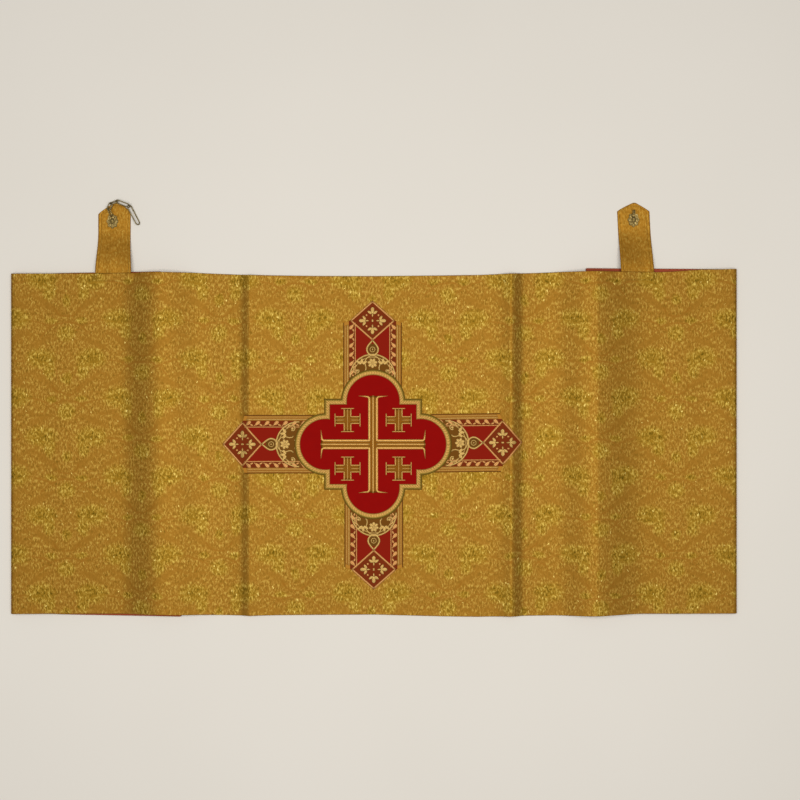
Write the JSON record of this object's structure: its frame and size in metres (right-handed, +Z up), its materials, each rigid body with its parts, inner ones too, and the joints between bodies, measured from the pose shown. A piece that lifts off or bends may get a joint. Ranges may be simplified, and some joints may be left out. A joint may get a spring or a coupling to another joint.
{
  "type": "humeral veil",
  "caption": "Lined gold brocade shoulder veil laid flat with both ends folded under, a red galloon cross on a padded medallion, and two fastening tabs with a chain clasp.",
  "frame": {"origin": "under the centre of the cross, on the lining's underside where it lies on the table", "axes": "+X along the veil, to the reader's right as it is read; +Y across the veil towards the two tabs; +Z up, out of the brocade side"},
  "size_m": [1.162, 0.6678, 0.0143],
  "materials": {
    "gold_brocade": "woven gold lurex brocade",
    "red_lining": "plain red lining satin",
    "galloon": "woven galloon, red ground with gold figures",
    "red_velvet": "smooth deep red cloth over a pad",
    "gold_thread": "gold thread embroidery and braid",
    "clasp_metal": "dull silvered cast metal and wire"
  },
  "bodies": {
    "root": {"brocade_face": "gold_brocade", "red_lining": "red_lining", "tab_left": "gold_brocade", "tab_right": "gold_brocade", "galloon_arm_right": "galloon", "galloon_arm_top": "galloon", "galloon_arm_left": "galloon", "galloon_arm_bottom": "galloon", "medallion": "red_velvet", "medallion_braid": "gold_thread", "great_cross": "gold_thread", "small_cross_1": "gold_thread", "small_cross_2": "gold_thread", "small_cross_3": "gold_thread", "small_cross_4": "gold_thread", "rosette_with_eye": "clasp_metal", "rosette_with_hook": "clasp_metal", "chain_link_1": "clasp_metal", "chain_link_2": "clasp_metal", "chain_link_3": "clasp_metal", "chain_end_link": "clasp_metal"}
  },
  "joints": []
}
